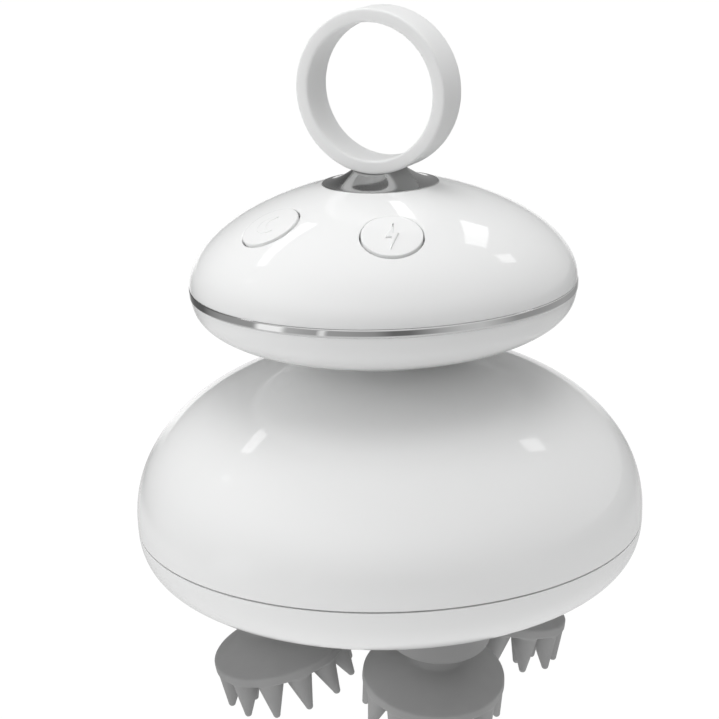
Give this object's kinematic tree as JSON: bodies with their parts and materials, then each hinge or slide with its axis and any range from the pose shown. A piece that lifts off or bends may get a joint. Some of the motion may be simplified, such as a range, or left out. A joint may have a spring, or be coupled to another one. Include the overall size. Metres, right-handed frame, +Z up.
{
  "type": "electric scalp massager",
  "caption": "Two-tier glossy white scalp massager with tilted fingered heads under a domed body, a round pod with two push buttons above it, and a finger ring on a chrome foot.",
  "frame": {"origin": "centre of the bounding box, on the plane that the outer finger tips rest on", "axes": "+Z up along the body's axis; -Y towards the buttons; +Y along the finger hole's axis, towards the back; +X to the right seen from the front"},
  "size_m": [0.1, 0.1, 0.1363],
  "materials": {
    "shell_white": "smooth glossy white moulding",
    "pod_white": "smooth glossy white moulding",
    "button_white": "glossy white cap with a raised symbol",
    "ring_white": "satin white moulding",
    "chrome": "bright plating",
    "silicone_grey": "soft matt silicone",
    "collar_grey": "fine matt moulding",
    "gasket_black": "moulded cord",
    "plug_grey": "soft plug",
    "steel": "turned or pressed steel",
    "bearing_bronze": "sintered bush",
    "gear_nylon": "natural nylon",
    "plate_white": "moulded plate",
    "core_plastic": "moulded core",
    "motor_can": "drawn can",
    "battery_foil": "laminated foil pouch",
    "pad_foam": "closed foam",
    "board_green": "laminate board with parts",
    "switch_dark": "small board with a tact switch",
    "contact_gold": "plated contact",
    "lead_red": "stranded lead in its sleeve"
  },
  "bodies": {
    "housing": {"dome_shell": "shell_white", "base_cover": "shell_white", "seam_gasket": "gasket_black", "closing_screws": "steel", "screw_plugs": "plug_grey", "gear_plate": "plate_white", "plate_screws": "steel", "reducer": "steel", "motor": "motor_can", "motor_screws": "steel", "footstep_bush": "bearing_bronze", "collar_fr": "collar_grey", "collar_br": "collar_grey", "collar_bl": "collar_grey", "collar_fl": "collar_grey", "bush_fr": "bearing_bronze", "bush_br": "bearing_bronze", "bush_bl": "bearing_bronze", "bush_fl": "bearing_bronze", "shaft_seals": "gasket_black", "neck_ring": "shell_white", "neck_nut": "core_plastic", "pod_lower_shell": "pod_white", "chrome_band": "chrome", "pod_upper_shell": "pod_white", "battery": "battery_foil", "battery_pad": "pad_foam", "control_board": "board_green", "board_screws": "steel", "power_switch": "switch_dark", "relax_switch": "switch_dark", "charge_pins": "contact_gold", "motor_leads": "lead_red", "handle_foot": "chrome", "ring_handle": "ring_white", "handle_screw": "steel"},
    "drive": {"drive_shaft": "steel", "drive_gear": "gear_nylon"},
    "head_fr": {"output_shaft_fr": "steel", "output_gear_fr": "gear_nylon", "head_core_fr": "core_plastic", "massage_head_fr": "silicone_grey"},
    "head_br": {"output_shaft_br": "steel", "output_gear_br": "gear_nylon", "head_core_br": "core_plastic", "massage_head_br": "silicone_grey"},
    "head_bl": {"output_shaft_bl": "steel", "output_gear_bl": "gear_nylon", "head_core_bl": "core_plastic", "massage_head_bl": "silicone_grey"},
    "head_fl": {"output_shaft_fl": "steel", "output_gear_fl": "gear_nylon", "head_core_fl": "core_plastic", "massage_head_fl": "silicone_grey"},
    "power_key": {"power_button": "button_white", "power_plunger": "core_plastic"},
    "relax_key": {"relax_button": "button_white", "relax_plunger": "core_plastic"}
  },
  "joints": [
    {"name": "drive_spin", "type": "hinge", "parent": "housing", "child": "drive", "pos_m": [0, 0, 0.03893], "axis": [0, 0, 1], "continuous": true},
    {"name": "head_fr_spin", "type": "hinge", "parent": "housing", "child": "head_fr", "pos_m": [0.0169, -0.0169, 0.01213], "axis": [0.1615, -0.1615, 0.9736], "continuous": true},
    {"name": "head_br_spin", "type": "hinge", "parent": "housing", "child": "head_br", "pos_m": [0.0169, 0.0169, 0.01213], "axis": [0.1615, 0.1615, 0.9736], "continuous": true},
    {"name": "head_bl_spin", "type": "hinge", "parent": "housing", "child": "head_bl", "pos_m": [-0.0169, 0.0169, 0.01213], "axis": [-0.1615, 0.1615, 0.9736], "continuous": true},
    {"name": "head_fl_spin", "type": "hinge", "parent": "housing", "child": "head_fl", "pos_m": [-0.0169, -0.0169, 0.01213], "axis": [-0.1615, -0.1615, 0.9736], "continuous": true},
    {"name": "power_press", "type": "slide", "parent": "housing", "child": "power_key", "axis": [-0.2274, 0.3877, -0.8933], "range_m": [0, 0.0006], "stiffness_N_per_m": 1200, "springref_m": -0.0008},
    {"name": "relax_press", "type": "slide", "parent": "housing", "child": "relax_key", "axis": [0.2165, 0.3939, -0.8933], "range_m": [0, 0.0006], "stiffness_N_per_m": 1200, "springref_m": -0.0008}
  ],
  "couplings": [
    {"joint": "head_fr_spin", "follows": "drive_spin", "ratio": -1.1111},
    {"joint": "head_br_spin", "follows": "drive_spin", "ratio": -1.1111},
    {"joint": "head_bl_spin", "follows": "drive_spin", "ratio": -1.1111},
    {"joint": "head_fl_spin", "follows": "drive_spin", "ratio": -1.1111}
  ]
}
